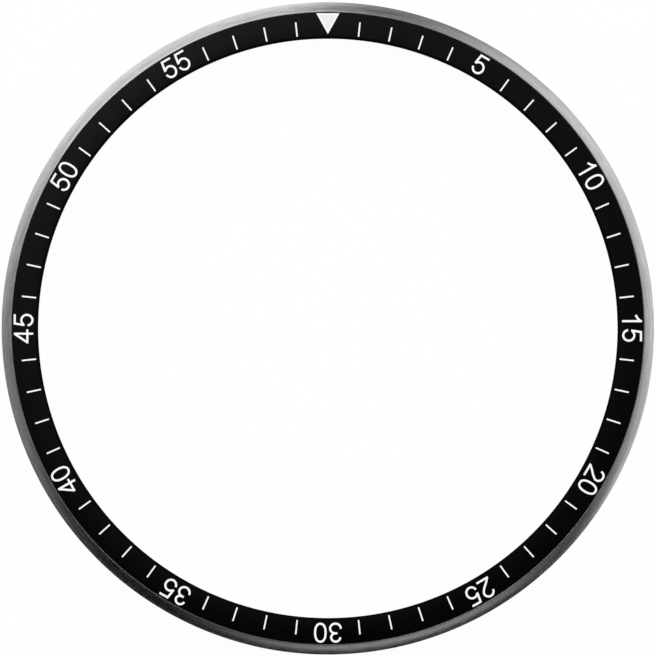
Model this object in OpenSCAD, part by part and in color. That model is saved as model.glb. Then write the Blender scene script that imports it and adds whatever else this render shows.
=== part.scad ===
// Rotating watch bezel on its carrier ring, lying flat with the underside of the
// carrier at z = 0, the axis on Z and 12 o'clock towards +Y. Millimetres.

/* [Bezel] */
// Inner diameter of the bezel, seen from the front
bezel_inner_d = 39.1; // [30:0.1:50]
// Width of the black insert band
insert_w = 1.78; // [1.7:0.01:3]
// Width of the steel rim round the insert
rim_w = 0.67; // [0.55:0.01:1.5]
// Slope of the rounded rim where it meets the insert
rim_slope_in = 14; // [4:1:20]
// Slope of the rounded rim at its outer edge
rim_slope_out = 37; // [26:1:50]
// Height of the rim's crest over the face of the insert
rim_proud = 0.07; // [0.02:0.01:0.2]
// Thickness of the floor that carries the insert
floor_t = 0.34; // [0.25:0.01:0.8]
// How far the floor stays back from the insert's inner edge
floor_setback = 0.07; // [0.05:0.01:0.2]
// Lifting bevel along the lower outer edge
lift_bevel = 0.2; // [0.05:0.01:0.3]

/* [Insert] */
// Thickness of the insert
insert_t = 0.48; // [0.35:0.01:1]
// Width of the bevel along the inner edge
bevel_w = 0.17; // [0.05:0.01:0.19]
// Height of the bevel along the inner edge
bevel_h = 0.12; // [0.05:0.01:0.3]
// Thickness of the adhesive film under the insert
adhesive_t = 0.05; // [0.02:0.01:0.15]
// Gap round the insert in its recess
insert_gap = 0.02; // [0.01:0.005:0.05]

/* [Minute marks] */
// Length of a minute mark
mark_l = 0.99; // [0.5:0.01:1.3]
// Width of a minute mark
mark_w = 0.127; // [0.08:0.001:0.3]
// Distance from the inner edge of the insert to the marks
mark_inset = 0.215; // [0.2:0.005:0.4]
// Depth of the filled mark
mark_depth = 0.05; // [0.02:0.01:0.15]

/* [Zero marker] */
// Width of the triangle at its outer side
marker_w = 1.58; // [0.8:0.01:2.2]
// Distance from the inner edge of the insert to the tip
marker_inset = 0.3; // [0.2:0.01:0.6]
// Distance from the outer edge of the insert to the triangle's flat side
marker_edge = 0.06; // [0.06:0.01:0.3]
// Width of the lacquered border round the luminous filling
marker_border = 0.1; // [0.05:0.01:0.2]
// Depth of the triangle
marker_depth = 0.15; // [0.05:0.01:0.3]

/* [Clicks] */
// Number of clicks in a turn
click_count = 120; // [60, 90, 120]
// Radial width of the toothed click ring
click_w = 1.0; // [0.95:0.01:1.1]
// Thickness of the click ring
click_t = 0.5; // [0.45:0.01:0.9]
// Depth of a notch
notch_depth = 0.24; // [0.18:0.01:0.26]
// Flat crest left between two notches at mid width
crest_w = 0.16; // [0.12:0.01:0.3]
// Diameter of a detent ball
ball_d = 0.6; // [0.5:0.01:0.8]
// Play between a ball or its spring and the pocket, each side
pocket_play = 0.03; // [0.01:0.005:0.05]
// Diameter of a pin that holds the click ring
pin_d = 0.36; // [0.2:0.01:0.5]
// Depth of the pin in each of the two rings
pin_grip = 0.2; // [0.1:0.01:0.22]

/* [Springs] */
// Wire diameter of a detent spring
spring_wire_d = 0.07; // [0.05:0.01:0.1]
// Outer diameter of a detent spring
spring_d = 0.5; // [0.4:0.01:0.6]
// Number of turns of a detent spring
spring_turns = 4; // [3:0.5:5]

/* [Carrier] */
// Radial gap left behind the insert's inner edge
bore_setback = 0.05; // [0.02:0.01:0.2]
// Wall of the neck that the bezel turns on
neck_t = 0.97; // [0.8:0.01:1.1]
// Height of the flange
flange_h = 1.6; // [1.4:0.05:2.5]
// How far the flange stays inside the bezel's outer edge
flange_setback = 0.1; // [0:0.01:0.2]
// Thickness of metal left under a ball pocket
pocket_floor = 0.35; // [0.25:0.01:0.6]
// Diameter of the tapped holes in the underside
screw_d = 1.2; // [1.15:0.05:1.25]
// Depth of the tapped holes
screw_depth = 1.2; // [0.6:0.05:1.3]
// Number of tapped holes
screw_count = 4; // [2:2:4]
// Width of the index notch in the underside
index_w = 1.0; // [0.5:0.05:2]
// Depth of the index notch
index_h = 0.5; // [0.2:0.05:0.8]
// Radial length of the index notch
index_l = 0.6; // [0.3:0.05:0.9]
// Small bevel on turned edges
edge = 0.06; // [0.02:0.01:0.08]

/* [Fit] */
// Radial running gap between neck and bezel
run_gap = 0.05; // [0.02:0.01:0.08]
// Gap between the flange and the bezel's underside
lift_gap = 0.06; // [0.04:0.01:0.1]
// Diameter of the retaining wire
wire_d = 0.4; // [0.3:0.01:0.5]
// Opening angle between the ends of the retaining wire
wire_open = 18; // [8:1:40]
// Play of the wire in the bezel's groove
wire_play = 0.04; // [0.02:0.01:0.06]
// Play of the wire in the neck's groove
wire_seat = 0.01; // [0.005:0.005:0.03]
// Metal left between two grooves
groove_land = 0.1; // [0.06:0.01:0.3]
// Diameter of the friction gasket's cord
gasket_d = 0.36; // [0.25:0.01:0.45]
// Play of the friction gasket against the bezel
gasket_play = 0.015; // [0.01:0.005:0.03]
// Thickness of the glide washer
washer_t = 0.1; // [0.05:0.01:0.3]
// Gap over the glide washer
washer_gap = 0.02; // [0.01:0.005:0.05]
// Distance from the bore to the case gasket
case_gasket_inset = 0.3; // [0.25:0.01:0.4]
// Width of the case gasket
case_gasket_w = 0.4; // [0.3:0.01:0.42]
// Height of the case gasket
case_gasket_h = 0.4; // [0.25:0.01:0.6]

/* [Hidden] */
$fn = 180;

twelve = 90;
minute = 360 / 60;
cut = 1;
seat_gap = 0.01;

// Radii, from the inner edge outwards
r_in = bezel_inner_d / 2;
r_border = r_in + insert_w;
r_out = r_border + rim_w;
insert_r = r_border - insert_gap;
floor_r = r_in + floor_setback;
bore_r = r_in + bore_setback;
neck_r = bore_r + neck_t;
skirt_r = neck_r + run_gap;
click_r = skirt_r + click_w;
pitch_r = skirt_r + click_w / 2;
flange_r = r_out - flange_setback;
wire_r = neck_r + run_gap / 2;

// Heights, from the underside upwards
z_skirt = flange_h + lift_gap;
z_click = z_skirt + click_t;
z_wire = z_click + groove_land + wire_d / 2 + wire_play;
gasket_slot = gasket_d + 2 * seat_gap;
z_gasket = z_wire + wire_d / 2 + wire_play + groove_land + gasket_slot / 2;
z_neck = z_gasket + gasket_slot / 2 + groove_land;
z_floor = z_neck + washer_t + washer_gap;
z_seat = z_floor + floor_t;
z_insert = z_seat + adhesive_t;
z_face = z_insert + insert_t;
z_crest = z_face + rim_proud;

// The rim's arc runs from the crest at the border to the outer edge, between its two slopes
rim_round = rim_w / (sin(rim_slope_out) - sin(rim_slope_in));
rim_arc_r = r_border - rim_round * sin(rim_slope_in);
rim_arc_z = z_crest - rim_round * cos(rim_slope_in);
z_rim_edge = rim_arc_z + rim_round * cos(rim_slope_out);

// A ball at rest touches both flanks of its notch
pocket_d = ball_d + 2 * pocket_play;
click_pitch = 360 / click_count;
notch_w = 2 * PI * pitch_r / click_count - crest_w;
// The cutter of a notch is a triangle this many times as tall as the notch
overcut = 1.2;
flank = atan(notch_depth / (notch_w / 2));
ball_z = z_skirt + notch_depth - ball_d / 2 / cos(flank) - seat_gap;
ball_angles = [for (i = [0:2]) twelve + 120 * i];

// A spring stands on the pocket's floor and ends in a ring of contact under the ball
spring_r = (spring_d - spring_wire_d) / 2;
spring_foot = pocket_floor + spring_wire_d / 2 + seat_gap;
spring_head = ball_z - sqrt(pow(ball_d / 2 + spring_wire_d / 2 + seat_gap, 2) - pow(spring_r, 2));

// The friction gasket fills its groove and stops just short of the bezel
gasket_r = skirt_r - gasket_play - gasket_d / 2;
case_gasket_r = bore_r + case_gasket_inset;

// The triangle stands on its tip, and its filling keeps an even border
marker_tip = r_in + marker_inset;
marker_top = insert_r - marker_edge;
marker_slope = atan(marker_w / 2 / (marker_top - marker_tip));

module ring(r_inner, r_outer, z_low, z_high) {
    rotate_extrude()
        translate([r_inner, z_low])
            square([r_outer - r_inner, z_high - z_low]);
}

// A triangle on the dial side, drawn in by an even border
module marker_shape(border) {
    tip = marker_tip + border / sin(marker_slope);
    top = marker_top - border;
    half = (top - tip) * tan(marker_slope);
    polygon([[0, tip], [half, top], [-half, top]]);
}

module marker_block(border, z_low, z_high) {
    translate([0, 0, z_low])
        linear_extrude(height = z_high - z_low)
            marker_shape(border);
}

module mark_blocks(height) {
    for (m = [0:59])
        if (m % 5 != 0)
            rotate(twelve - minute * m)
                translate([r_in + mark_inset, -mark_w / 2, z_face - mark_depth])
                    cube([mark_l, mark_w, height]);
}

module pin_places() {
    for (i = [0:2])
        rotate(twelve + 120 * i + click_pitch / 2)
            translate([pitch_r, 0, z_click - pin_grip])
                cylinder(d = pin_d, h = 2 * pin_grip);
}

module bezel_ring() {
    color("silver")
    difference() {
        rotate_extrude()
            difference() {
                intersection() {
                    translate([floor_r, z_skirt])
                        square([r_out - floor_r, z_crest - z_skirt + cut]);
                    union() {
                        translate([floor_r - cut, z_skirt - cut])
                            square([r_border - floor_r + cut, z_seat - z_skirt + cut]);
                        // The outer wall, up to just under the end of the rim's arc
                        translate([r_border - edge, z_skirt - cut])
                            square([rim_w + edge + cut, z_rim_edge - edge - z_skirt + cut]);
                        translate([rim_arc_r, rim_arc_z])
                            circle(r = rim_round);
                    }
                }
                // Recess for the insert
                translate([floor_r - cut, z_seat])
                    square([r_border - floor_r + cut, z_crest - z_seat + cut]);
                // Room for the neck and the glide washer
                translate([floor_r - cut, z_skirt - cut])
                    square([skirt_r - floor_r + cut, z_floor - z_skirt + cut]);
                // Rebate for the click ring
                translate([skirt_r - cut, z_skirt - cut])
                    square([click_w + cut, click_t + cut]);
                // Groove for the retaining wire
                translate([wire_r, z_wire])
                    circle(d = wire_d + 2 * wire_play);
                // Bevel under which a case knife lifts the bezel
                polygon([
                    [r_out - lift_bevel - cut, z_skirt - cut],
                    [r_out + cut, z_skirt - cut],
                    [r_out + cut, z_skirt + lift_bevel + cut]
                ]);
            }
        pin_places();
    }
}

module bezel_insert() {
    color([0.06, 0.06, 0.07])
    difference() {
        rotate_extrude()
            polygon([
                [r_in, z_insert],
                [insert_r, z_insert],
                [insert_r, z_face - edge / 2],
                [insert_r - edge / 2, z_face],
                [r_in + bevel_w, z_face],
                [r_in, z_face - bevel_h]
            ]);
        mark_blocks(mark_depth + cut);
        marker_block(0, z_face - marker_depth, z_face + cut);
    }
}

module insert_adhesive() {
    color([0.85, 0.8, 0.6])
        ring(floor_r + edge, insert_r - edge, z_seat, z_insert);
}

module minute_marks() {
    color("white")
        mark_blocks(mark_depth);
}

module zero_marker_border() {
    color("white")
    difference() {
        marker_block(0, z_face - marker_depth, z_face);
        marker_block(marker_border, z_face - marker_depth - cut, z_face + cut);
    }
}

module zero_marker_lume() {
    color([0.93, 0.94, 0.9])
        marker_block(marker_border, z_face - marker_depth, z_face);
}

module click_ring() {
    color([0.55, 0.56, 0.58])
    difference() {
        rotate(click_pitch / 2)
            ring(skirt_r, click_r, z_skirt, z_click);
        for (i = [0:click_count - 1])
            rotate(twelve + click_pitch * i)
                translate([skirt_r - cut, 0, z_skirt])
                    rotate([90, 0, 90])
                        linear_extrude(height = click_w + 2 * cut)
                            polygon([
                                [0, notch_depth],
                                [-notch_w / 2 * overcut, notch_depth * (1 - overcut)],
                                [notch_w / 2 * overcut, notch_depth * (1 - overcut)]
                            ]);
        pin_places();
    }
}

module click_ring_pins() {
    color([0.7, 0.7, 0.72])
        pin_places();
}

module glide_washer() {
    color([0.95, 0.95, 0.92])
        ring(bore_r + 2 * edge, neck_r - edge, z_neck, z_neck + washer_t);
}

module friction_gasket() {
    color([0.12, 0.12, 0.12])
        rotate_extrude()
            translate([gasket_r, z_gasket])
                circle(d = gasket_d);
}

module retaining_wire() {
    color([0.75, 0.76, 0.78])
        rotate(wire_open / 2 - twelve)
            rotate_extrude(angle = 360 - wire_open)
                translate([wire_r, z_wire])
                    circle(d = wire_d);
}

module carrier_ring() {
    color([0.62, 0.63, 0.65])
    difference() {
        rotate_extrude()
            difference() {
                polygon([
                    [bore_r + 2 * edge, 0],
                    [flange_r - edge, 0],
                    [flange_r, edge],
                    [flange_r, flange_h - 2 * edge],
                    [flange_r - 2 * edge, flange_h],
                    [neck_r, flange_h],
                    [neck_r, z_neck - edge],
                    [neck_r - edge, z_neck],
                    [bore_r, z_neck],
                    [bore_r, 2 * edge]
                ]);
                // Groove that the retaining wire snaps into
                translate([wire_r, z_wire])
                    circle(d = wire_d + 2 * wire_seat);
                // Groove for the friction gasket
                translate([gasket_r - gasket_d / 2 - seat_gap / 2, z_gasket - gasket_slot / 2])
                    square([gasket_d, gasket_slot]);
                // Groove for the case gasket
                translate([case_gasket_r - seat_gap, -cut])
                    square([case_gasket_w + 2 * seat_gap, case_gasket_h + seat_gap + cut]);
            }
        // Pockets for the balls and their springs
        for (a = ball_angles)
            rotate(a)
                translate([pitch_r, 0, pocket_floor])
                    cylinder(d = pocket_d, h = flange_h);
        // Tapped holes for the case screws
        for (i = [0:screw_count - 1])
            rotate(twelve / 2 + 360 / screw_count * i)
                translate([pitch_r, 0, -cut])
                    cylinder(d = screw_d, h = screw_depth + cut);
        // Notch that a key in the case enters at 6 o'clock
        translate([-index_w / 2, -flange_r - cut, -cut])
            cube([index_w, index_l + cut, index_h + cut]);
    }
}

module case_gasket() {
    color([0.12, 0.12, 0.12])
        ring(case_gasket_r, case_gasket_r + case_gasket_w, 0, case_gasket_h);
}

module detent_ball(i) {
    color([0.8, 0.81, 0.83])
        rotate(ball_angles[i - 1])
            translate([pitch_r, 0, ball_z])
                sphere(d = ball_d);
}

// One unbroken helical tube, swept as rings of points
module detent_spring(i) {
    sides = 6;
    steps = 8 * spring_turns;
    climb = spring_head - spring_foot;
    points = [
        for (s = [0:steps], k = [0:sides - 1])
            let (
                turn = 360 * spring_turns * s / steps,
                around = 360 * k / sides,
                reach = spring_r + spring_wire_d / 2 * cos(around)
            )
            [
                reach * cos(turn),
                reach * sin(turn),
                spring_foot + climb * s / steps + spring_wire_d / 2 * sin(around)
            ]
    ];
    walls = [
        for (s = [0:steps - 1], k = [0:sides - 1])
            let (
                a = s * sides + k,
                b = s * sides + (k + 1) % sides,
                c = b + sides,
                d = a + sides
            )
            each [[a, c, b], [a, d, c]]
    ];
    foot_cap = [for (k = [1:sides - 2]) [0, k, k + 1]];
    head_cap = [for (k = [1:sides - 2]) [steps * sides, steps * sides + k + 1, steps * sides + k]];
    color([0.72, 0.73, 0.75])
        rotate(ball_angles[i - 1])
            translate([pitch_r, 0, 0])
                polyhedron(points, concat(walls, foot_cap, head_cap));
}

module detent_ball_1() { detent_ball(1); }
module detent_ball_2() { detent_ball(2); }
module detent_ball_3() { detent_ball(3); }
module detent_spring_1() { detent_spring(1); }
module detent_spring_2() { detent_spring(2); }
module detent_spring_3() { detent_spring(3); }

bezel_ring();
bezel_insert();
insert_adhesive();
minute_marks();
zero_marker_border();
zero_marker_lume();
click_ring();
click_ring_pins();
glide_washer();
friction_gasket();
retaining_wire();
carrier_ring();
case_gasket();
detent_ball_1();
detent_ball_2();
detent_ball_3();
detent_spring_1();
detent_spring_2();
detent_spring_3();
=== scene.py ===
"""A rotating watch bezel: brushed steel rim, numbered black insert, and the carrier ring it clicks on.

Every length inside a class is in millimetres; Blender's own units are metres.
"""

import logging
import math
from collections.abc import Sequence
from dataclasses import dataclass
from enum import Enum
from typing import Any, ClassVar

import bmesh
import bpy
from bmesh.types import BMesh
from bpy.types import Material, Mesh, Node, NodeSocket, NodeTree, Object
from mathutils import Matrix, Vector, geometry


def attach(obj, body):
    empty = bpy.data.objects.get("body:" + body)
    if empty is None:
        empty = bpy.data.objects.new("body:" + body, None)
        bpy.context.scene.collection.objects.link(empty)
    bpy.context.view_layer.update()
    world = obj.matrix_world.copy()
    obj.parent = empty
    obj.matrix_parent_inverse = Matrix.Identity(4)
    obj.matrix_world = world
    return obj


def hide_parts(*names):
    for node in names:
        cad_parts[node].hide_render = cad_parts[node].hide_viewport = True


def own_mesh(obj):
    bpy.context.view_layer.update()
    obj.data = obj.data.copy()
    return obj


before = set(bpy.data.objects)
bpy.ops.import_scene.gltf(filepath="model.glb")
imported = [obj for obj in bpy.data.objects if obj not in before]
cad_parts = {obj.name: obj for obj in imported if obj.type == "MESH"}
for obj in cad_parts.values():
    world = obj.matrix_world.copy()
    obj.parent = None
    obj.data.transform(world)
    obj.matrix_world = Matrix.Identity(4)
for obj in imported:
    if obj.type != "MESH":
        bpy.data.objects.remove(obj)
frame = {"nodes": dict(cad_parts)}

MM = 0.001
PER_METRE = 1000.0
TWELVE = 90.0
MINUTES = 60
NUMBERED_EVERY = 5
POCKETS = (90.0, 210.0, 330.0)
POCKET_CIRCLE = 21.12
WIRE_CENTRE = (20.595, 2.5)
FINE_ROUND = 0.02
SOFT_ROUND = 0.03
ROUND_SIDES = 64
SMOOTH_ANGLE = 34.0
SAME_PLACE = 1e-5

Point = tuple[float, float]
Place = tuple[float, float, float]
Colour = tuple[float, float, float]
Settings = dict[str, Any] | None
Inputs = dict[str | int, Any] | None

log = logging.getLogger("bezel")


class Body(Enum):
    """The CAD bodies that new pieces ride on."""

    CARRIER = "carrier"
    BEZEL = "bezel"


class Slot(Enum):
    """The names of the record's material slots."""

    RIM = "brushed_steel"
    INSERT = "insert_black"
    WHITE = "mark_white"
    LUME = "lume"
    CARRIER = "carrier_steel"
    SPRING = "spring_steel"


# Nodes


class Tree:
    """A node tree while it is put together."""

    def __init__(self, tree: NodeTree) -> None:
        """Takes the tree that gets the nodes."""
        self.tree = tree

    def node(self, kind: str, inputs: Inputs = None, settings: Settings = None) -> Node:
        """Adds a node, sets what it does, then fills or links its sockets.

        Args:
            kind: The node's type.
            inputs: A value or a socket to link, by the input's name or place.
            settings: Properties of the node itself.

        Returns:
            The new node.
        """
        node = self.tree.nodes.new(kind)
        for key, value in (settings or {}).items():
            setattr(node, key, value)
        for key, value in (inputs or {}).items():
            if isinstance(value, Value):
                value = value.socket
            if isinstance(value, NodeSocket):
                self.tree.links.new(value, node.inputs[key])
            else:
                node.inputs[key].default_value = value
        return node

    def output(self, kind: str, inputs: Inputs = None, settings: Settings = None) -> NodeSocket:
        """Adds a node and gives its first output."""
        return self.node(kind, inputs, settings).outputs[0]

    def maths(self, operation: str, *terms: "NodeSocket | Value | float") -> NodeSocket:
        """Adds one Math node that takes these terms in their order."""
        return self.output("ShaderNodeMath", dict(enumerate(terms)), {"operation": operation})


class Value:
    """A number inside a node tree, on which Python's operators add Math nodes."""

    def __init__(self, tree: Tree, socket: NodeSocket) -> None:
        """Wraps an output socket of a node in this tree."""
        self.tree = tree
        self.socket = socket

    def maths(self, operation: str, *terms: "Value | float") -> "Value":
        """Works out one step from terms in their order."""
        return Value(self.tree, self.tree.maths(operation, *terms))

    def __add__(self, other: "Value | float") -> "Value":
        """This plus other."""
        return self.maths("ADD", self, other)

    __radd__ = __add__

    def __sub__(self, other: "Value | float") -> "Value":
        """This less other."""
        return self.maths("SUBTRACT", self, other)

    def __rsub__(self, other: float) -> "Value":
        """Other less this."""
        return self.maths("SUBTRACT", other, self)

    def __mul__(self, other: "Value | float") -> "Value":
        """This times other."""
        return self.maths("MULTIPLY", self, other)

    __rmul__ = __mul__

    def __truediv__(self, other: "Value | float") -> "Value":
        """This over other."""
        return self.maths("DIVIDE", self, other)

    def __pow__(self, other: float) -> "Value":
        """This to the power of other."""
        return self.maths("POWER", self, other)

    def at_least(self, other: "Value | float") -> "Value":
        """The larger of the two."""
        return self.maths("MAXIMUM", self, other)

    def at_most(self, other: "Value | float") -> "Value":
        """The smaller of the two."""
        return self.maths("MINIMUM", self, other)


class Shader(Tree):
    """The node tree of a material or of the world."""

    def __init__(self, tree: NodeTree) -> None:
        """Starts from an empty tree."""
        super().__init__(tree)
        tree.nodes.clear()

    def value(self, socket: NodeSocket) -> Value:
        """A socket as a number to reckon with."""
        return Value(self, socket)

    def position(self) -> tuple[Value, Value, Value]:
        """Place on the piece in millimetres, from its Object coordinates."""
        parts = self.node("ShaderNodeSeparateXYZ", {0: self.node("ShaderNodeTexCoord").outputs["Object"]})
        return tuple(self.value(out) * PER_METRE for out in parts.outputs)

    def vector(self, x: Value, y: Value, z: Value) -> NodeSocket:
        """Three numbers as one vector."""
        return self.output("ShaderNodeCombineXYZ", {0: x, 1: y, 2: z})

    def vector_maths(self, operation: str, *terms: NodeSocket | Place | Vector) -> Node:
        """Adds one Vector Math node."""
        return self.node("ShaderNodeVectorMath", dict(enumerate(terms)), {"operation": operation})

    def noise(self, scale: float, detail: float) -> Value:
        """Soft noise from 0 to 1 over the piece, in a number of finer and finer layers."""
        inputs = {"Vector": self.vector(*self.position()), "Scale": scale, "Detail": detail}
        return self.value(self.output("ShaderNodeTexNoise", inputs))

    def turning_lines(self, pitch: float, changes: float, detail: float, breakup: float = 0.6) -> Value:
        """Lines round the Z axis without a seam, as a lathe or a brush leaves them.

        Args:
            pitch: Distance across the lines over which they change.
            changes: How often a line changes on its way round.
            detail: Layers of finer lines.
            breakup: How strong each finer layer is beside the last.

        Returns:
            Values from 0 to 1 round 0.5.
        """
        x, y, z = self.position()
        radius = (x * x + y * y) ** 0.5
        where = self.vector(x / radius * changes, y / radius * changes, radius / pitch)
        inputs = {"Vector": where, "W": z / pitch, "Scale": 1.0, "Detail": detail, "Roughness": breakup}
        return self.value(self.output("ShaderNodeTexNoise", inputs, {"noise_dimensions": "4D"}))

    def mix(self, share: Value, low: Colour, high: Colour) -> NodeSocket:
        """A colour between two, by a share from 0 to 1."""
        inputs = {"Factor": share, 6: (*low, 1.0), 7: (*high, 1.0)}
        return self.node("ShaderNodeMix", inputs, {"data_type": "RGBA"}).outputs[2]

    def along(self, way: NodeSocket, towards: Vector) -> Value:
        """How far a unit vector points towards another, from 0 to 1."""
        return self.value(self.vector_maths("DOT_PRODUCT", way, towards).outputs["Value"]).at_least(0.0)

    def bump(self, height: Value, depth: float) -> NodeSocket:
        """A normal from a height of 0 to 1, whose full depth is in millimetres."""
        return self.output("ShaderNodeBump", {"Height": height, "Distance": depth * MM})

    def surface(self, **inputs: Any) -> None:
        """Ends the tree in a Principled BSDF, with spaces in socket names written as underscores."""
        named = {key.replace("_", " "): value for key, value in inputs.items()}
        self.end(self.output("ShaderNodeBsdfPrincipled", named))

    def blend(self, share: Value, low: NodeSocket, high: NodeSocket) -> NodeSocket:
        """A shader between two, by a share from 0 to 1."""
        return self.output("ShaderNodeMixShader", {0: share, 1: low, 2: high})

    def end(self, shader: NodeSocket, kind: str = "Material") -> None:
        """Ends the tree in a finished shader."""
        self.node(f"ShaderNodeOutput{kind}", {"Surface": shader})


def new_material(name: str) -> tuple[Material, Shader]:
    """Starts a material.

    Args:
        name: Its name.

    Returns:
        The material, and its empty shader.
    """
    material = bpy.data.materials.new(name)
    material.use_nodes = True
    return material, Shader(material.node_tree)


def shades(tone: Colour, darker: float, lighter: float) -> tuple[Colour, Colour]:
    """A darker and a lighter colour beside a tone, by the share that each is off it."""
    return tuple(c * (1 - darker) for c in tone), tuple(c * (1 + lighter) for c in tone)


# Finishes


@dataclass(frozen=True)
class Finish:
    """The look of a piece. Each kind of finish paints its own shader."""

    name: str

    def paint(self, s: Shader) -> None:
        """Fills the material's node tree."""
        raise NotImplementedError

    def make(self) -> Material:
        """Builds the material.

        Returns:
            The material, painted.
        """
        material, s = new_material(self.name)
        self.paint(s)
        return material


@dataclass(frozen=True)
class TurnedSteel(Finish):
    """Steel whose lines run round the axis, brushed or fresh from the lathe."""

    tone: Colour
    roughness: float
    anisotropy: float
    pitch: float
    changes: float
    contrast: float
    groove: float = 0.0006
    crisp: float = 1.0
    gloss_swing: float = 0.16
    broad_pitch: float = 5.0
    broad_changes: float = 2.0
    broad_swing: float = 0.1
    brush_turn: float = 0.25

    def paint(self, s: Shader) -> None:
        """Draws fine lines in tone, gloss and relief, and broad ones in gloss.

        Args:
            s: The material's shader.
        """
        lines = s.turning_lines(self.pitch, self.changes, detail=3.0)
        broad = s.turning_lines(self.pitch * self.broad_pitch, self.changes * self.broad_changes, detail=1.0)
        swing = lines - 0.5
        s.surface(
            Base_Color=s.mix(swing * self.crisp + 0.5, *shades(self.tone, self.contrast, self.contrast)),
            Metallic=1.0,
            Roughness=self.roughness + swing * self.gloss_swing + (broad - 0.5) * self.broad_swing,
            Anisotropic=self.anisotropy,
            Anisotropic_Rotation=self.brush_turn,
            Normal=s.bump(lines, self.groove),
        )


@dataclass(frozen=True)
class Mottled(Finish):
    """A finish whose tone and gloss vary softly, with a faint relief where it has one."""

    dark: Colour
    light: Colour
    roughness: float
    grain: float
    detail: float = 3.0
    gloss_swing: float = 0.1
    relief: float = 0.0
    metallic: float = 0.0

    def paint(self, s: Shader) -> None:
        """Draws one soft noise in tone, gloss and relief.

        Args:
            s: The material's shader.
        """
        mottle = s.noise(self.grain, self.detail)
        normal = {"Normal": s.bump(mottle, self.relief)} if self.relief else {}
        s.surface(
            Base_Color=s.mix(mottle, self.dark, self.light),
            Metallic=self.metallic,
            Roughness=self.roughness + (mottle - 0.5) * self.gloss_swing,
            **normal,
        )


def drawn_steel(name: str, tone: Colour, roughness: float, grain: float = 9.0) -> Mottled:
    """Smooth drawn or polished steel with a little cloudiness."""
    dark, light = shades(tone, darker=0.06, lighter=0.05)
    return Mottled(name, dark, light, roughness, grain, gloss_swing=0.08, metallic=1.0)


def moulded(name: str, tone: Colour, roughness: float, relief: float = 0.001) -> Mottled:
    """Rubber, plastic or glue film with a faint moulded grain."""
    dark, light = shades(tone, darker=0.2, lighter=0.15)
    return Mottled(name, dark, light, roughness, grain=7.0, detail=4.0, gloss_swing=0.12, relief=relief)


@dataclass(frozen=True)
class SatinCeramic(Finish):
    """Deep black ceramic, lapped to a faintly crowned satin face, with a matt bevel at its inner edge."""

    tone: Colour
    roughness: float
    specular: float = 0.12
    contrast: float = 0.25
    grain: float = 14.0
    grain_depth: float = 0.0004
    cloud: float = 0.5
    cloud_swing: float = 0.1
    crown_start: float = 19.6
    crown_radius: float = 12.0
    bevel_end: float = 19.73
    bevel_fade: float = 0.02
    bevel_roughness: float = 0.6

    def paint(self, s: Shader) -> None:
        """Draws grain in tone, clouds in gloss, and the crown and the grain in relief.

        Args:
            s: The material's shader.
        """
        grain, cloud = s.noise(self.grain, detail=4.0), s.noise(self.cloud, detail=1.0)
        x, y, _ = s.position()
        radius = (x * x + y * y) ** 0.5
        reach = radius - self.crown_start
        crown = reach * reach * (-0.5 / self.crown_radius)
        bevel = ((self.bevel_end - radius) / self.bevel_fade).at_least(0.0).at_most(1.0)
        s.surface(
            Base_Color=s.mix(grain, *shades(self.tone, self.contrast, self.contrast)),
            Roughness=self.roughness + (cloud - 0.5) * self.cloud_swing + bevel * self.bevel_roughness,
            Normal=s.bump(crown + grain * self.grain_depth, 1.0),
            Specular_IOR_Level=self.specular,
        )


RIM_STEEL = TurnedSteel(
    "rim steel", (0.62, 0.62, 0.625), 0.2, 0.88, pitch=0.06, changes=18.0, contrast=0.38, crisp=1.4
)
CARRIER_STEEL = TurnedSteel(
    "carrier steel", (0.5, 0.5, 0.51), 0.32, 0.6, pitch=0.13, changes=0.8, contrast=0.3, groove=0.0015
)
HARDENED_STEEL = TurnedSteel(
    "hardened steel", (0.42, 0.42, 0.43), 0.34, 0.4, pitch=0.09, changes=1.1, contrast=0.2
)
SPRING_WIRE = drawn_steel("spring wire", (0.55, 0.55, 0.57), 0.3)
BALL_STEEL = drawn_steel("ball steel", (0.7, 0.7, 0.71), 0.12, grain=5.0)
INSERT_BLACK = SatinCeramic("insert black", (0.0004, 0.0004, 0.0005), 0.3)
MARK_WHITE = Mottled("mark white", (0.94, 0.94, 0.94), (0.97, 0.97, 0.97), 0.42, grain=6.0, relief=0.001)
LUME = Mottled("lume", (0.76, 0.76, 0.755), (0.89, 0.89, 0.885), 0.6, grain=5.0, relief=0.003)


# Meshes


@dataclass(frozen=True)
class Corner:
    """A corner of a turned outline: its radius, its height, and the radius it is rounded with."""

    r: float
    z: float
    round: float = 0.0


def arc(centre: Point, radius: float, start: float, end: float, steps: int) -> list[Corner]:
    """Corners along an arc with both its ends, between angles in degrees from straight outwards."""
    angles = [math.radians(start + (end - start) * i / steps) for i in range(steps + 1)]
    return [Corner(centre[0] + radius * math.cos(a), centre[1] + radius * math.sin(a)) for a in angles]


def rounded(outline: Sequence[Corner], steps: int = 5) -> list[Point]:
    """A closed outline with its corners rounded.

    Args:
        outline: Its corners in order.
        steps: Straight pieces in a rounded corner.

    Returns:
        Points of the outline, with a point beside each rounding that keeps the flat beside it flat.
    """
    spots = [Vector((corner.r, corner.z)) for corner in outline]
    points: list[Vector] = []
    for i, (corner, here) in enumerate(zip(outline, spots)):
        if corner.round <= 0:
            points.append(here)
            continue
        back, ahead = spots[i - 1] - here, spots[(i + 1) % len(spots)] - here
        back_way, ahead_way = back.normalized(), ahead.normalized()
        half = back_way.angle(ahead_way) / 2
        reach = corner.round / math.tan(half)
        middle = here + (back_way + ahead_way).normalized() * (corner.round / math.sin(half))
        first, last = here + back_way * reach, here + ahead_way * reach
        spare = corner.round / 2
        if back.length > reach + 2 * spare:
            points.append(first + back_way * spare)
        step = -(first - middle).angle_signed(last - middle) / steps
        points += [middle + Matrix.Rotation(step * k, 2) @ (first - middle) for k in range(steps + 1)]
        if ahead.length > reach + 2 * spare:
            points.append(last + ahead_way * spare)
    return [(p.x, p.y) for p in points]


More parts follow.
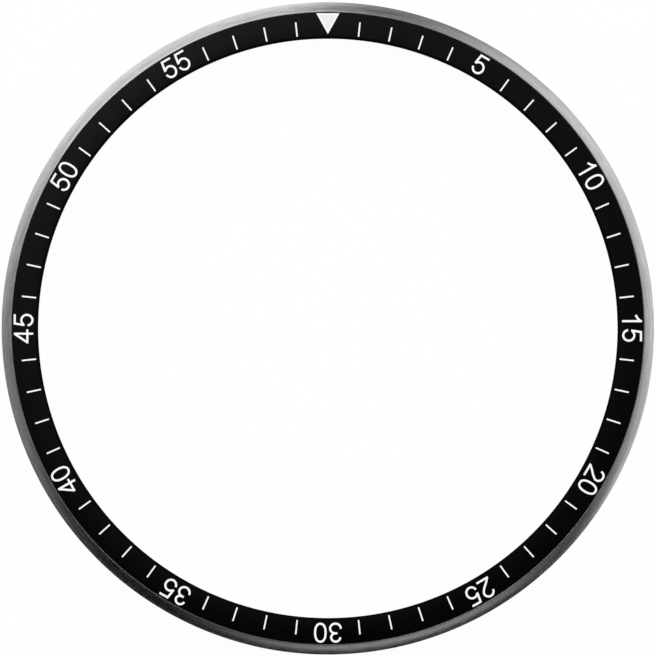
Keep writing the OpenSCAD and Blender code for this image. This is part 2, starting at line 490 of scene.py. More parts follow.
def as_mesh(work: BMesh) -> Mesh:
    """Keeps what was built as a mesh.

    Args:
        work: What was built, which is gone afterwards.

    Returns:
        The mesh.
    """
    mesh = bpy.data.meshes.new("shape")
    work.to_mesh(mesh)
    work.free()
    return mesh


def tidy(mesh: Mesh) -> None:
    """Merges doubles, points the faces outwards and shades the mesh smooth between sharp edges.

    Args:
        mesh: The mesh, which is changed.
    """
    work = bmesh.new()
    work.from_mesh(mesh)
    bmesh.ops.remove_doubles(work, verts=work.verts, dist=SAME_PLACE * MM)
    bmesh.ops.recalc_face_normals(work, faces=work.faces)
    work.to_mesh(mesh)
    work.free()
    mesh.shade_smooth()
    mesh.set_sharp_from_angle(angle=math.radians(SMOOTH_ANGLE))


def add_object(name: str, data: Any) -> Object:
    """Puts an object at the scene's origin.

    Args:
        name: Its name.
        data: Its mesh, light or camera.

    Returns:
        The new object.
    """
    thing = bpy.data.objects.new(name, data)
    bpy.context.scene.collection.objects.link(thing)
    return thing


def show(mesh: Mesh, name: str, material: Material | None = None) -> Object:
    """Puts a finished mesh into the scene.

    Args:
        mesh: The mesh.
        name: The piece's name.
        material: Its only material, where it hasn't one yet.

    Returns:
        The new object.
    """
    mesh.name = name
    if material is not None:
        mesh.materials.append(material)
    return add_object(name, mesh)


def evaluated_mesh(piece: Object) -> Mesh:
    """Applies an object's modifiers and takes it out of the scene.

    Args:
        piece: The object, which is gone afterwards.

    Returns:
        The mesh that its modifiers make.
    """
    bpy.context.view_layer.update()
    graph = bpy.context.evaluated_depsgraph_get()
    mesh = bpy.data.meshes.new_from_object(piece.evaluated_get(graph))
    bpy.data.objects.remove(piece)
    return mesh


class GeometryTree(Tree):
    """A Geometry Nodes tree whose named inputs are a piece's sizes."""

    def __init__(self, name: str) -> None:
        """Starts a tree that takes one mesh and gives one.

        Args:
            name: The tree's name.
        """
        super().__init__(bpy.data.node_groups.new(name, "GeometryNodeTree"))
        for way in ("INPUT", "OUTPUT"):
            self.tree.interface.new_socket("Geometry", in_out=way, socket_type="NodeSocketGeometry")
        self.source = self.node("NodeGroupInput")
        self.settings: dict[str, float] = {}

    @property
    def base(self) -> NodeSocket:
        """The mesh that the tree starts from."""
        return self.source.outputs[0]

    def size(self, name: str, value: float) -> NodeSocket:
        """Adds a named input.

        Args:
            name: What the size is.
            value: A length for a float, a number of things for an int.

        Returns:
            The socket that gives it.
        """
        kind = "NodeSocketInt" if isinstance(value, int) else "NodeSocketFloat"
        item = self.tree.interface.new_socket(name, in_out="INPUT", socket_type=kind)
        self.settings[item.identifier] = value
        return self.source.outputs[name]

    def grow(self, result: NodeSocket, material: Material, base: Mesh | None = None) -> Mesh:
        """Ends the tree, runs it once and keeps the mesh it makes.

        Args:
            result: The last geometry of the tree.
            material: The finish of the whole mesh.
            base: The mesh it starts from, where it needs one.

        Returns:
            A plain mesh.
        """
        real = self.output("GeometryNodeRealizeInstances", {0: result})
        dressed = self.output("GeometryNodeSetMaterial", {"Geometry": real, "Material": material})
        self.node("NodeGroupOutput", {0: dressed})
        holder = show(base or bpy.data.meshes.new("empty"), self.tree.name)
        modifier = holder.modifiers.new(self.tree.name, "NODES")
        modifier.node_group = self.tree
        for identifier, value in self.settings.items():
            modifier[identifier] = value
        mesh = evaluated_mesh(holder)
        tidy(mesh)
        return mesh


def turned(name: str, outline: Sequence[Corner], material: Material, steps_round: int = 720) -> Mesh:
    """Turns an outline round the Z axis.

    Args:
        name: Name of the piece.
        outline: The corners of its closed cross section.
        material: The finish.
        steps_round: Number of straight pieces round the ring.

    Returns:
        The closed mesh.
    """
    points = rounded(outline)
    middle = sum(r for r, _ in points) / len(points)
    loop = bpy.data.meshes.new(name)
    edges = [(i, (i + 1) % len(points)) for i in range(len(points))]
    loop.from_pydata([((r - middle) * MM, -z * MM, 0.0) for r, z in points], edges, [])
    tree = GeometryTree(f"{name} turning")
    radius = tree.size("Turning radius", middle * MM)
    steps = tree.size("Steps round", steps_round)
    profile = tree.output("GeometryNodeMeshToCurve", {0: tree.base})
    circle = tree.output("GeometryNodeCurvePrimitiveCircle", {"Resolution": steps, "Radius": radius})
    swept = tree.output("GeometryNodeCurveToMesh", {"Curve": circle, "Profile Curve": profile})
    return tree.grow(swept, material, loop)


def add_cylinder(work: BMesh, foot: Place, height: float, diameter: float) -> None:
    """Adds a closed upright cylinder.

    Args:
        work: The mesh that gets it.
        foot: The middle of its underside.
        height: Its height.
        diameter: Its diameter.
    """
    radius, depth = diameter / 2 * MM, height * MM
    shift = Matrix.Translation(Vector((foot[0], foot[1], foot[2] + height / 2)) * MM)
    bmesh.ops.create_cone(
        work, cap_ends=True, segments=ROUND_SIDES, radius1=radius, radius2=radius, depth=depth, matrix=shift
    )


def add_block(work: BMesh, low: Place, high: Place) -> None:
    """Adds a closed box.

    Args:
        work: The mesh that gets it.
        low: Its corner with the lowest coordinates.
        high: The corner opposite.
    """
    low_corner, high_corner = Vector(low) * MM, Vector(high) * MM
    size = Matrix.Diagonal((*(high_corner - low_corner), 1.0))
    bmesh.ops.create_cube(work, size=1.0, matrix=Matrix.Translation((low_corner + high_corner) / 2) @ size)


def cut(mesh: Mesh, tools: BMesh) -> Mesh:
    """Cuts closed shapes out of a closed mesh.

    Args:
        mesh: What is cut.
        tools: The shapes, which don't touch each other.

    Returns:
        A new mesh.
    """
    cutter = show(as_mesh(tools), "cutter")
    holder = show(mesh, "holder")
    modifier = holder.modifiers.new("cut", "BOOLEAN")
    modifier.operation = "DIFFERENCE"
    modifier.solver = "MANIFOLD"
    modifier.object = cutter
    result = evaluated_mesh(holder)
    bpy.data.objects.remove(cutter)
    tidy(result)
    return result


def around(radius: float, degrees: float) -> Point:
    """A place on a circle round the axis."""
    angle = math.radians(degrees)
    return radius * math.cos(angle), radius * math.sin(angle)


def deliver(piece: Object, body: Body, slot: Slot, *nodes: str) -> None:
    """Lets a finished piece ride on its body.

    Args:
        piece: The piece.
        body: The body that carries it.
        slot: Not used.
        nodes: The CAD nodes that it stands for.
    """
    if nodes:
        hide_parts(*nodes)
    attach(piece, body.value)
    log.info("%s: %d faces, rides on %s", piece.name, len(piece.data.polygons), body.value)


class Piece:
    """A sub-assembly that is built as one mesh. Each kind says how, and which CAD nodes it stands for."""

    name: ClassVar[str]
    body: ClassVar[Body] = Body.BEZEL
    slot: ClassVar[Slot]
    nodes: ClassVar[tuple[str, ...]] = ()

    def build(self) -> Mesh:
        """Makes the finished mesh."""
        raise NotImplementedError

    def dress(self) -> None:
        """Puts the mesh into the scene and onto its body."""
        deliver(show(self.build(), self.name), self.body, self.slot, *self.nodes)


# The bezel


@dataclass
class Rim(Piece):
    """The steel ring with its rounded rim, recess, skirt and wire groove."""

    name = "bezel_rim"
    slot = Slot.RIM
    nodes = ("bezel_ring",)

    outer: float = 22.0
    border: float = 21.35
    floor: float = 19.62
    skirt: float = 20.62
    rebate: float = 21.62
    z_skirt: float = 1.66
    z_click: float = 2.16
    z_floor: float = 3.44
    z_seat: float = 3.78
    bevel: float = 0.2
    crest: float = 4.38
    slope_in: float = 14.0
    slope_out: float = 37.0
    dome_steps: int = 26
    outer_round: float = 0.012
    outer_steps: int = 8
    inner_round: float = 0.006
    inner_steps: int = 5
    groove_radius: float = 0.24
    groove_steps: int = 14
    pin_diameter: float = 0.36
    pin_reach: float = 0.2
    pin_turn: float = 1.5

    @property
    def dome_radius(self) -> float:
        """Radius of the rim's curve, from its slopes at both edges."""
        spread = math.sin(math.radians(self.slope_out)) - math.sin(math.radians(self.slope_in))
        return (self.outer - self.border) / spread

    @property
    def dome_centre(self) -> Point:
        """Centre of the rim's curve."""
        slope, radius = math.radians(self.slope_in), self.dome_radius
        return self.border - radius * math.sin(slope), self.crest - radius * math.cos(slope)

    def edge_round(self, wall: float, radius: float, side: int) -> tuple[Point, float]:
        """Where a small round meets both the dome and an upright wall.

        Args:
            wall: Radius of the wall.
            radius: Radius of the small round.
            side: 1 where the round lies inside the wall, -1 where it lies outside.

        Returns:
            The small round's centre, and the angle at which it meets the dome.
        """
        centre_r = wall - side * radius
        across = centre_r - self.dome_centre[0]
        up = math.sqrt((self.dome_radius - radius) ** 2 - across**2)
        return (centre_r, self.dome_centre[1] + up), math.degrees(math.atan2(up, across))

    def outline(self) -> list[Corner]:
        """Draws the ring's cross section.

        Returns:
            Its corners in order.
        """
        outer, outer_angle = self.edge_round(self.outer, self.outer_round, 1)
        inner, inner_angle = self.edge_round(self.border, self.inner_round, -1)
        half = math.degrees(math.acos((self.skirt - WIRE_CENTRE[0]) / self.groove_radius))
        return [
            Corner(self.rebate, self.z_skirt, FINE_ROUND),
            Corner(self.outer - self.bevel, self.z_skirt, FINE_ROUND),
            Corner(self.outer, self.z_skirt + self.bevel, SOFT_ROUND),
            *arc(outer, self.outer_round, 0, outer_angle, self.outer_steps)[:-1],
            *arc(self.dome_centre, self.dome_radius, outer_angle, inner_angle, self.dome_steps),
            *arc(inner, self.inner_round, inner_angle, 180, self.inner_steps)[1:],
            Corner(self.border, self.z_seat),
            Corner(self.floor, self.z_seat, SOFT_ROUND),
            Corner(self.floor, self.z_floor, SOFT_ROUND),
            Corner(self.skirt, self.z_floor),
            *arc(WIRE_CENTRE, self.groove_radius, half, -half, self.groove_steps),
            Corner(self.skirt, self.z_click, FINE_ROUND),
            Corner(self.rebate, self.z_click),
        ]

    def build(self) -> Mesh:
        """Turns the ring and drills the three pin holes.

        Returns:
            The closed ring.
        """
        ring = turned(self.name, self.outline(), RIM_STEEL.make())
        pins = bmesh.new()
        for angle in POCKETS:
            foot = (*around(POCKET_CIRCLE, angle + self.pin_turn), self.z_click - self.pin_reach)
            add_cylinder(pins, foot, 2 * self.pin_reach, self.pin_diameter)
        return cut(ring, pins)


@dataclass
class Insert(Piece):
    """The flat black ring in the rim's recess."""

    name = "insert"
    slot = Slot.INSERT
    nodes = ("bezel_insert",)

    inner: float = 19.532
    outer: float = 21.31
    z_low: float = 3.83
    z_face: float = 4.31
    bevel_w: float = 0.17
    bevel_h: float = 0.12

    def build(self) -> Mesh:
        """Turns the insert.

        Returns:
            The closed ring.
        """
        outline = [
            Corner(self.inner, self.z_low, FINE_ROUND),
            Corner(self.outer, self.z_low, FINE_ROUND),
            Corner(self.outer, self.z_face, SOFT_ROUND),
            Corner(self.inner + self.bevel_w, self.z_face, SOFT_ROUND),
            Corner(self.inner, self.z_face - self.bevel_h, SOFT_ROUND),
        ]
        return turned(self.name, outline, INSERT_BLACK.make())


def prism(faces: Sequence[Sequence[int]], points: Sequence[Point], z_low: float, z_high: float) -> Mesh:
    """Raises a flat shape into a closed block.

    Args:
        faces: The shape's faces, by point.
        points: Places in millimetres.
        z_low: Height of the underside.
        z_high: Height of the top.

    Returns:
        The closed mesh.
    """
    count = len(points)
    verts = [(x * MM, y * MM, z * MM) for z in (z_low, z_high) for x, y in points]
    sides: dict[frozenset[int], list[tuple[int, int]]] = {}
    for face in faces:
        for a, b in zip(face, (*face[1:], face[0])):
            sides.setdefault(frozenset((a, b)), []).append((a, b))
    border = [edges[0] for edges in sides.values() if len(edges) == 1]
    shell = [tuple(i + count for i in face) for face in faces]
    shell += [tuple(reversed(face)) for face in faces]
    shell += [(a, b, b + count, a + count) for a, b in border]
    mesh = bpy.data.meshes.new("prism")
    mesh.from_pydata(verts, [], shell)
    return mesh


def union(shapes: Sequence[Sequence[Point]]) -> tuple[list[Point], list[tuple[int, ...]]]:
    """Joins overlapping flat shapes.

    Args:
        shapes: Outlines in millimetres, anticlockwise.

    Returns:
        The points and triangles of the joined shape.
    """
    points: list[Vector] = []
    outlines: list[list[int]] = []
    for shape in shapes:
        outlines.append(list(range(len(points), len(points) + len(shape))))
        points += [Vector(p) for p in shape]
    everything = 0
    made = geometry.delaunay_2d_cdt(points, [], outlines, everything, SAME_PLACE)
    places, _, triangles, _, _, owners = made
    covered = [tuple(triangle) for triangle, owner in zip(triangles, owners) if owner]
    return [(p.x, p.y) for p in places], covered


@dataclass
class MinuteMarks(Piece):
    """White bars at every minute without a number."""

    name = "minute_bars"
    slot = Slot.WHITE
    nodes = ("minute_marks",)

    count: int = MINUTES
    skip: int = NUMBERED_EVERY
    inner: float = 19.777
    length: float = 0.965
    width: float = 0.1
    z_low: float = 4.27
    z_high: float = 4.317
    corner: float = 0.012

    def bar(self) -> Mesh:
        """Makes one bar at the centre, along X, with its upright edges rounded.

        Returns:
            The closed bar.
        """
        work = bmesh.new()
        half_l, half_w = self.length / 2, self.width / 2
        add_block(work, (-half_l, -half_w, self.z_low), (half_l, half_w, self.z_high))
        upright = [e for e in work.edges if abs(e.verts[0].co.z - e.verts[1].co.z) > SAME_PLACE * MM]
        bmesh.ops.bevel(work, geom=upright, offset=self.corner * MM, segments=2, affect="EDGES", profile=0.5)
        return as_mesh(work)

    def build(self) -> Mesh:
        """Sets a bar at each minute, leaving out every fifth.

        Returns:
            All the bars in one mesh.
        """
        tree = GeometryTree("minute marks")
        radius = tree.size("Circle radius", (self.inner + self.length / 2) * MM)
        count = tree.size("Minutes", self.count)
        every = tree.size("Leave out every", self.skip)
        circle = tree.output("GeometryNodeMeshCircle", {"Vertices": count, "Radius": radius})
        index = tree.output("GeometryNodeInputIndex")
        kept = tree.maths("GREATER_THAN", tree.maths("MODULO", index, every), 0.5)
        angle = tree.maths("MULTIPLY", index, tree.maths("DIVIDE", math.tau, count))
        turn = tree.output("ShaderNodeCombineXYZ", {2: angle})
        inputs = {"Points": circle, "Selection": kept, "Instance": tree.base, "Rotation": turn}
        placed = tree.output("GeometryNodeInstanceOnPoints", inputs)
        return tree.grow(placed, MARK_WHITE.make(), self.bar())


@dataclass
class ZeroMarker:
    """The triangle at 12: a bright outline round a slightly greyer filling."""

    tip: float = 19.85
    top: float = 21.25
    width: float = 1.56
    border: float = 0.1
    z_low: float = 4.25
    z_border: float = 4.318
    z_lume: float = 4.316

    def shape(self, inset: float) -> list[Point]:
        """The triangle, or a smaller one inside it.

        Args:
            inset: How far its sides are drawn in.

        Returns:
            Its three corners, from the tip.
        """
        slope = math.atan(self.width / 2 / (self.top - self.tip))
        tip = self.tip + inset / math.sin(slope)
        top = self.top - inset
        half = (top - tip) * math.tan(slope)
        return [(0.0, tip), (half, top), (-half, top)]

    def dress(self) -> None:
        """Builds the outline and the filling and puts them on the bezel."""
        outer, inner = self.shape(0.0), self.shape(self.border)
        bands = [(0, 1, 4, 3), (1, 2, 5, 4), (2, 0, 3, 5)]
        outline = prism(bands, [*outer, *inner], self.z_low, self.z_border)
        filling = prism([(0, 1, 2)], inner, self.z_low, self.z_lume)
        for mesh, name, look, slot, node in (
            (outline, "zero_outline", MARK_WHITE, Slot.WHITE, "zero_marker_border"),
            (filling, "zero_filling", LUME, Slot.LUME, "zero_marker_lume"),
        ):
            tidy(mesh)
            deliver(show(mesh, name, look.make()), Body.BEZEL, slot, node)


def ellipse(
    centre: Point, half: Point, start: float, end: float, steps: int = 28, power: float = 2.0
) -> list[Point]:
    """Points along an ellipse, or a squarer one where the power is above 2.

    Args:
        centre: Its centre.
        half: Its half width and half height.
        start: Angle of the first point in degrees.
        end: Angle of the last point.
        steps: Number of straight pieces.
        power: 2 for an ellipse.

    Returns:
        The points, both ends included.
    """
    points = []
    for i in range(steps + 1):
        angle = math.radians(start + (end - start) * i / steps)
        c, s = math.cos(angle), math.sin(angle)
        x = math.copysign(abs(c) ** (2 / power), c)
        y = math.copysign(abs(s) ** (2 / power), s)
        points.append((centre[0] + half[0] * x, centre[1] + half[1] * y))
    return points


def ribbon(path: Sequence[Point], width: float, stretch: float = 2.0) -> list[list[Point]]:
    """A stroke of even width along a path, as one four-cornered shape for each piece of the path.

    Args:
        path: Points along the middle of the stroke. It is closed where the last meets the first.
        width: The stroke's width.
        stretch: How much longer than elsewhere the stroke's side may be at a sharp bend.

    Returns:
        The shapes.
    """
    closed = math.dist(path[0], path[-1]) < SAME_PLACE
    spots = [Vector(p) for p in (path[:-1] if closed else path)]
    steps = [after - spot for spot, after in zip(spots, spots[1:])]
    if closed:
        steps.append(spots[0] - spots[-1])
    ways = [step.normalized() for step in steps]
    edges: list[tuple[Point, Point]] = []
    for i, spot in enumerate(spots):
        before = ways[i - 1] if i or closed else ways[i]
        after = ways[i] if i < len(ways) else before
        way = (before + after).normalized()
        side = Vector((-way.y, way.x)) * (width / 2 * min(stretch, 1 / way.dot(before)))
        edges.append((tuple(spot + side), tuple(spot - side)))
    pairs = list(zip(edges, edges[1:]))
    if closed:
        pairs.append((edges[-1], edges[0]))
    return [[a[0], a[1], b[1], b[0]] for a, b in pairs]


# The strokes of the digits 0 to 5, each as a path along its middle, in the numerals' own unit.
DIGITS: tuple[tuple[list[Point], ...], ...] = (
    (ellipse((6.6, 10.2), (5.25, 8.95), 0, 360, 72, 2.3),),
    (
        [(7.05, 0.1), (7.05, 19.9)],
        [(7.6, 19.8), (6.2, 17.6), (4.4, 15.8), (2.6, 14.6), (0.9, 13.7)],
    ),
    (
        ellipse((6.7, 14.3), (4.95, 4.75), 180, -28)
        + [(9.9, 10.5), (8.1, 8.4), (5.6, 6.2), (3.5, 4.2), (2.0, 2.4), (1.3, 1.2)],
        [(0.1, 1.2), (13.2, 1.2)],
    ),
    (
        ellipse((6.5, 14.95), (4.5, 4.15), 182, -90),
        ellipse((6.7, 5.95), (5.35, 4.85), 90, -182),
        [(4.8, 10.8), (7.0, 10.8)],
    ),
    (
        [(9.5, 0.6), (9.5, 19.8)],
        [(-0.1, 6.4), (13.8, 6.4)],
        [(9.6, 19.5), (0.7, 6.3)],
    ),
    (
        ellipse((6.75, 6.85), (5.3, 5.55), -172, 142, 40),
        [(1.85, 9.3), (3.55, 20.0)],
        [(2.7, 19.0), (12.7, 19.0)],
    ),
)
# Where the digits of these numbers start. All others have the usual starts.
STARTS: dict[str, tuple[float, ...]] = {
    "5": (-6.9,),
    "10": (-14.3, -0.2),
    "15": (-14.3, 0.2),
    "40": (-14.2, 1.2),
    "45": (-14.8, 1.5),
}


@dataclass
class Numerals(Piece):
    """The numbers 5 to 55, upright strokes of one width, their tops towards the rim.

    Digits, strokes and starts are in the unit, and the base is the radius that the digits stand on.
    """

    name = "numerals"
    slot = Slot.WHITE

    unit: float = 0.067444
    base: float = 19.83
    stroke: float = 2.06
    z_low: float = 4.26
    z_high: float = 4.318
    usual_starts: tuple[float, ...] = (-14.3, 0.9)

    def number(self, minute: int) -> Mesh:
        """Draws one number.

        Args:
            minute: The number, and where it stands.

        Returns:
            Its closed mesh in place.
        """
        figures = str(minute)
        shapes = [
            [((x + start) * self.unit, self.base + y * self.unit) for x, y in shape]
            for figure, start in zip(figures, STARTS.get(figures, self.usual_starts))
            for path in DIGITS[int(figure)]
            for shape in ribbon(path, self.stroke)
        ]
        points, faces = union(shapes)
        turn = math.radians(-360 / MINUTES * minute)
        c, s = math.cos(turn), math.sin(turn)
        return prism(faces, [(x * c - y * s, x * s + y * c) for x, y in points], self.z_low, self.z_high)

    def build(self) -> Mesh:
        """Draws all eleven numbers.

        Returns:
            The numbers in one mesh.
        """
        work = bmesh.new()
        for minute in range(NUMBERED_EVERY, MINUTES, NUMBERED_EVERY):
            work.from_mesh(self.number(minute))
        whole = as_mesh(work)
        tidy(whole)
        whole.materials.append(MARK_WHITE.make())
        return whole


# The carrier and what it holds


@dataclass
class Carrier(Piece):
    """The fixed ring: neck with two grooves, flange with ball pockets, underside made for the case."""

    name = "carrier"
    body = Body.CARRIER
    slot = Slot.CARRIER
    nodes = ("carrier_ring",)

    bore: float = 19.6
    neck: float = 20.57
    flange: float = 21.9
    z_flange: float = 1.6
    z_neck: float = 3.32
    edge: float = 0.06
    wire_radius: float = 0.21
    wire_steps: int = 14
    gasket_floor: float = 20.24
    gasket_z: float = 3.03
    gasket_slot: float = 0.38
    case_groove: Point = (19.89, 20.31)
    case_groove_h: float = 0.41
    pocket_d: float = 0.66
    pocket_floor: float = 0.35
    screw_d: float = 1.2
    screw_depth: float = 1.2
    screws: int = 4
    index_w: float = 1.0
    index_l: float = 0.6
    index_h: float = 0.5
    tool_excess: float = 1.0

    def outline(self) -> list[Corner]:
        """Draws the carrier's cross section.

        Returns:
            Its corners in order.
        """
        e = self.edge
        inner, outer = self.case_groove
        half = math.degrees(math.acos((self.neck - WIRE_CENTRE[0]) / self.wire_radius))
        slot_low, slot_high = self.gasket_z - self.gasket_slot / 2, self.gasket_z + self.gasket_slot / 2
        return [
            Corner(self.bore + 2 * e, 0, FINE_ROUND),
            Corner(inner, 0),
            Corner(inner, self.case_groove_h),
            Corner(outer, self.case_groove_h),
            Corner(outer, 0),
            Corner(self.flange - e, 0, FINE_ROUND),
            Corner(self.flange, e, FINE_ROUND),
            Corner(self.flange, self.z_flange - 2 * e, SOFT_ROUND),
            Corner(self.flange - 2 * e, self.z_flange, SOFT_ROUND),
            Corner(self.neck, self.z_flange, FINE_ROUND),
            *arc(WIRE_CENTRE, self.wire_radius, -half, -360 + half, self.wire_steps),
            Corner(self.neck, slot_low, FINE_ROUND),
            Corner(self.gasket_floor, slot_low),
            Corner(self.gasket_floor, slot_high),
            Corner(self.neck, slot_high),
            Corner(self.neck, self.z_neck - e),
            Corner(self.neck - e, self.z_neck, FINE_ROUND),
            Corner(self.bore, self.z_neck, SOFT_ROUND),
            Corner(self.bore, 2 * e, FINE_ROUND),
        ]

    def build(self) -> Mesh:
        """Turns the ring, then bores the pockets and screw holes and mills the index notch.

        Returns:
            The closed ring.
        """
        ring = turned(self.name, self.outline(), CARRIER_STEEL.make())
        tools = bmesh.new()
        past = self.tool_excess
        for angle in POCKETS:
            foot = (*around(POCKET_CIRCLE, angle), self.pocket_floor)
            add_cylinder(tools, foot, self.z_flange - self.pocket_floor + past, self.pocket_d)
        for i in range(self.screws):
            foot = (*around(POCKET_CIRCLE, 360 / self.screws * (i + 0.5)), -past)
            add_cylinder(tools, foot, self.screw_depth + past, self.screw_d)
        half, rim = self.index_w / 2, -self.flange
        add_block(tools, (-half, rim - past, -past), (half, rim + self.index_l, self.index_h))
        return cut(ring, tools)


@dataclass
class DetentSprings:
    """Three coil springs, each standing in its pocket under a ball."""

    coil_radius: float = 0.215
    wire: float = 0.07
    z_foot: float = 0.395
    z_head: float = 1.284
    turns: float = 4.0
    travel: float = 0.2
    coil_steps: int = 40
    wire_sides: int = 12

    def build(self, angle: float) -> Mesh:
        """Winds one spring.

        Args:
            angle: Where its pocket is, in degrees.

        Returns:
            Its closed mesh in place.
        """
        tree = GeometryTree("detent spring")
        radius = tree.size("Coil radius", self.coil_radius * MM)
        wire = tree.size("Wire radius", self.wire / 2 * MM)
        winding = {
            "Resolution": tree.size("Steps in a turn", self.coil_steps),
            "Rotations": tree.size("Turns", self.turns),
            "Start Radius": radius,
            "End Radius": radius,
            "Height": tree.size("Height", (self.z_head - self.z_foot) * MM),
        }
        coil = tree.output("GeometryNodeCurveSpiral", winding)
        sides = tree.size("Sides of the wire", self.wire_sides)
        section = tree.output("GeometryNodeCurvePrimitiveCircle", {"Resolution": sides, "Radius": wire})
        sweep = {"Curve": coil, "Profile Curve": section, "Fill Caps": True}
        tube = tree.output("GeometryNodeCurveToMesh", sweep)
        foot = tuple(c * MM for c in (*around(POCKET_CIRCLE, angle), self.z_foot))
        placed = tree.output("GeometryNodeTransform", {"Geometry": tube, "Translation": foot})
        return tree.grow(placed, SPRING_WIRE.make())

    def dress(self) -> None:
        """Puts the springs on the carrier."""
        for i, angle in enumerate(POCKETS, 1):
            piece = show(self.build(angle), f"coil_spring_{i}")
            deliver(piece, Body.CARRIER, Slot.SPRING, f"detent_spring_{i}")
            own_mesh(piece)


@dataclass
class KeptParts:
    """The CAD nodes whose shape is right and that only get a finish."""

    looks: tuple[tuple[Finish, tuple[str, ...]], ...] = (
        (moulded("adhesive film", (0.62, 0.56, 0.4), 0.7), ("insert_adhesive",)),
        (HARDENED_STEEL, ("click_ring",)),
        (drawn_steel("pin steel", (0.5, 0.5, 0.51), 0.25), ("click_ring_pins",)),
        (moulded("glide plastic", (0.8, 0.8, 0.77), 0.45), ("glide_washer",)),
        (moulded("black rubber", (0.02, 0.02, 0.02), 0.62, relief=0.002), ("friction_gasket",)),
        (moulded("case gasket rubber", (0.022, 0.022, 0.023), 0.6, relief=0.0015), ("case_gasket",)),
        (drawn_steel("retaining wire steel", (0.56, 0.56, 0.58), 0.28, grain=4.0), ("retaining_wire",)),
        (BALL_STEEL, ("detent_ball_1", "detent_ball_2", "detent_ball_3")),
    )

    def dress(self, nodes: dict[str, Object]) -> None:
        """Gives each node its material.

        Args:
            nodes: The frame's nodes by name.
        """
        for look, names in self.looks:
            material = look.make()
            for name in names:
                mesh = nodes[name].data
                mesh.materials.clear()
                mesh.materials.append(material)
                log.info("%s: keeps its CAD shape, in %s", name, look.name)


# The studio


def clock_direction(clock_angle: float, height_angle: float) -> Vector:
    """Unit vector at an angle clockwise from 12 and an angle above the floor, in degrees."""
    up = math.radians(height_angle)
    return Vector((*around(math.cos(up), TWELVE - clock_angle), math.sin(up)))


@dataclass(frozen=True)
class Glow:
    """A soft bright stripe up the wall of the light tent, brighter or darker towards its top."""

    clock_angle: float
    strength: float
    tightness: float
    rise: float = 0.0
    middle: float = 0.6

    def shine(self, s: Shader, compass: NodeSocket, height: Value) -> Value:
        """How brightly it shines at a place on the tent, by the level unit vector to it and its height."""
        facing = s.along(compass, clock_direction(self.clock_angle, 0.0)) ** self.tightness
        return facing * (self.strength + (height - self.middle) * (self.strength * self.rise))


@dataclass(frozen=True)
class Softbox:
    """A round soft light on the tent: high for the insert or the rim's inner half, low for its outer."""

    clock_angle: float
    height_angle: float
    strength: float
    tightness: float

    def shine(self, s: Shader, towards: NodeSocket) -> Value:
        """How brightly it shines at a place on the tent, by the unit vector towards it."""
        facing = s.along(towards, clock_direction(self.clock_angle, self.height_angle))
        return facing**self.tightness * self.strength


@dataclass(frozen=True)
class Lamp:
    """A square softbox that lights the object."""

    name: str
    clock_angle: float
    height_angle: float
    distance_m: float
    size_m: float
    watts: float


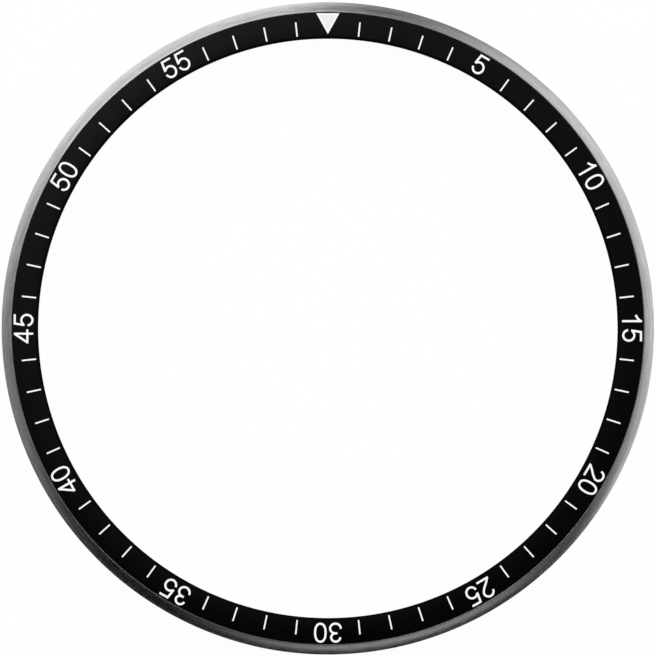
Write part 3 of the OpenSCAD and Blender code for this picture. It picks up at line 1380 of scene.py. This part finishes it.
@dataclass
class Studio:
    """Pale floor, light tent, softboxes and a camera straight above."""

    width: float = 44.243
    rim_z: float = 3.97
    offset: Point = (0.0101, 0.027)
    lens: float = 1000.0
    sensor: float = 36.0
    nearest_m: float = 0.001
    farthest_m: float = 100.0
    floor_radius_m: float = 3.0
    floor_z: float = -0.02
    floor_tone: float = 0.9
    background_share: float = 0.97
    fill: float = 0.53
    tent_radius_m: float = 1.0
    tent_base: float = 0.004
    overhead_fall: float = 7.0
    glows: tuple[Glow, ...] = (
        Glow(352, 0.5, 60, -0.6),
        Glow(338, 0.64, 24, -0.8),
        Glow(314, 0.78, 16, -0.9),
        Glow(291, 0.36, 24, -0.8),
        Glow(274, 0.12, 24, -0.4),
        Glow(256, 0.2, 24, 0.1),
        Glow(16, 0.09, 40),
        Glow(35, 0.61, 24, 1.3),
        Glow(55, 0.68, 24, 0.4),
        Glow(76, 0.59, 20, -0.1),
        Glow(97, 0.5, 20, -0.6),
        Glow(114, 0.19, 40, -1.2),
    )
    boxes: tuple[Softbox, ...] = (
        Softbox(327, 74, 2.0, 40),
        Softbox(0, 20, 0.45, 60),
        Softbox(118, 18, 0.5, 120),
        Softbox(134, 20, 0.09, 60),
        Softbox(155, 48, 0.37, 50),
        Softbox(178, 48, 0.38, 50),
        Softbox(191, 50, 0.08, 160),
        Softbox(242, 30, 0.09, 50),
        Softbox(280, 26, 0.16, 60),
    )
    lamps: tuple[Lamp, ...] = (
        Lamp("key softbox", 330, 55, 0.8, 0.5, 3.0),
        Lamp("side softbox", 60, 50, 0.8, 0.5, 1.5),
    )

    def background_rays(self, s: Shader) -> Value:
        """Tells the rays that show the background: seen directly, mirrored or through glass.

        Args:
            s: The shader that asks.

        Returns:
            1 for such a ray and 0 for any other.
        """
        path = s.node("ShaderNodeLightPath")
        direct, mirrored, through = (
            s.value(path.outputs[f"Is {kind} Ray"]) for kind in ("Camera", "Glossy", "Transmission")
        )
        return direct.at_least(mirrored).at_least(through)

    def floor(self) -> None:
        """A pale floor that shows white and keeps a faint shadow."""
        work = bmesh.new()
        down = Matrix.Translation((0, 0, self.floor_z * MM))
        radius = self.floor_radius_m
        bmesh.ops.create_circle(work, cap_ends=True, segments=ROUND_SIDES, radius=radius, matrix=down)
        material, s = new_material("floor paper")
        paper = s.output("ShaderNodeBsdfDiffuse", {"Color": (*(self.floor_tone,) * 3, 1.0)})
        white = s.output("ShaderNodeEmission", {"Strength": 1.0})
        s.end(s.blend(self.background_rays(s) * self.background_share, paper, white))
        show(as_mesh(work), "floor", material)

    def tent(self) -> None:
        """A light tent that only mirrored rays see."""
        work = bmesh.new()
        bmesh.ops.create_icosphere(work, subdivisions=4, radius=self.tent_radius_m)
        material, s = new_material("tent cloth")
        where = s.node("ShaderNodeTexCoord").outputs["Object"]
        unit = s.vector_maths("NORMALIZE", where).outputs[0]
        level = s.vector_maths("MULTIPLY", where, (1.0, 1.0, 0.0)).outputs[0]
        compass = s.vector_maths("NORMALIZE", level).outputs[0]
        height = s.value(s.node("ShaderNodeSeparateXYZ", {0: unit}).outputs["Z"]).at_least(0.0)
        open_side = 1 - height**self.overhead_fall
        stripes = sum((glow.shine(s, compass, height) for glow in self.glows), 0.0)
        boxes = sum((box.shine(s, unit) for box in self.boxes), 0.0)
        s.end(s.output("ShaderNodeEmission", {"Strength": stripes * open_side + boxes + self.tent_base}))
        material.cycles.emission_sampling = "NONE"
        piece = show(as_mesh(work), "light_tent", material)
        for ray in ("camera", "diffuse", "shadow", "transmission"):
            setattr(piece, f"visible_{ray}", False)

    def sky(self) -> None:
        """A world that is white behind the object and an even fill on it."""
        world = bpy.data.worlds.new("studio")
        world.use_nodes = True
        s = Shader(world.node_tree)
        fill, white = (
            s.output("ShaderNodeBackground", {"Color": (1.0, 1.0, 1.0, 1.0), "Strength": strength})
            for strength in (self.fill, 1.0)
        )
        s.end(s.blend(self.background_rays(s), fill, white), "World")
        bpy.context.scene.world = world

    def softboxes(self) -> None:
        """The lamps, which the tent's glows stand for in mirrored light."""
        for lamp in self.lamps:
            data = bpy.data.lights.new(lamp.name, "AREA")
            data.size = lamp.size_m
            data.energy = lamp.watts
            light = add_object(lamp.name, data)
            way = clock_direction(lamp.clock_angle, lamp.height_angle)
            light.location = way * lamp.distance_m
            light.rotation_euler = way.to_track_quat("Z", "Y").to_euler()
            light.visible_camera = False
            light.visible_glossy = False

    def camera(self) -> None:
        """A long lens straight above, with 12 o'clock at the top."""
        data = bpy.data.cameras.new("camera")
        data.lens = self.lens
        data.sensor_width = self.sensor
        data.clip_start = self.nearest_m
        data.clip_end = self.farthest_m
        eye = add_object("camera", data)
        distance = self.width * self.lens / self.sensor
        eye.location = Vector((*self.offset, self.rim_z + distance)) * MM
        bpy.context.scene.camera = eye

    def build(self) -> None:
        """Sets up everything round the object."""
        self.floor()
        self.tent()
        self.sky()
        self.softboxes()
        self.camera()
        bpy.context.scene.view_settings.view_transform = "Standard"
        log.info("studio: %d lamps, %d glows", len(self.lamps), len(self.glows))


def main() -> None:
    """Builds the bezel's pieces in order, then the studio."""
    logging.basicConfig(level=logging.INFO, format="%(message)s")
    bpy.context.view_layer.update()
    for part in (Rim(), Insert(), MinuteMarks(), ZeroMarker(), Numerals(), Carrier(), DetentSprings()):
        part.dress()
    KeptParts().dress(frame["nodes"])
    Studio().build()


if __name__ == "__main__":
    main()
